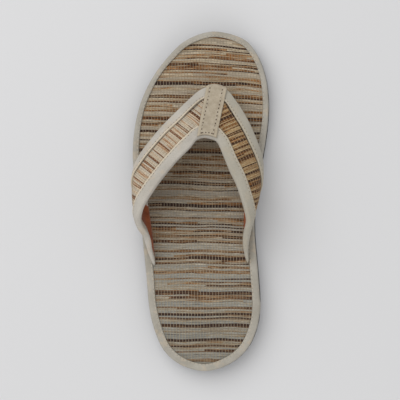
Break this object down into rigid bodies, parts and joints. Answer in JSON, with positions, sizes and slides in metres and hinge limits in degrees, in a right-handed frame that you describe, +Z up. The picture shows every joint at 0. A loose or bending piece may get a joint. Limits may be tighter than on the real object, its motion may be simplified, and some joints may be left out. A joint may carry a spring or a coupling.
{
  "type": "thong sandal",
  "caption": "Flat thong sandal with a woven footbed, a taped edge, a black outsole and a wide woven V strap held by a tab between the toes.",
  "frame": {"origin": "on the floor under the middle of the sandal's box", "axes": "+Y towards the toe, +X towards the inner (big toe) side, +Z up from the floor"},
  "size_m": [0.11, 0.271, 0.0521],
  "materials": {
    "outsole_rubber": "matt, fine grain",
    "woven_grass": "flat woven stripes in browns, tan and beige",
    "cotton_tape": "matt ribbed tape",
    "cotton_canvas": "matt canvas with dark stitches"
  },
  "bodies": {
    "root": {"outsole": "outsole_rubber", "footbed": "woven_grass", "edge_binding": "cotton_tape", "strap": "woven_grass", "front_binding": "cotton_tape", "rear_binding": "cotton_tape", "toe_tab": "cotton_canvas"}
  },
  "joints": []
}
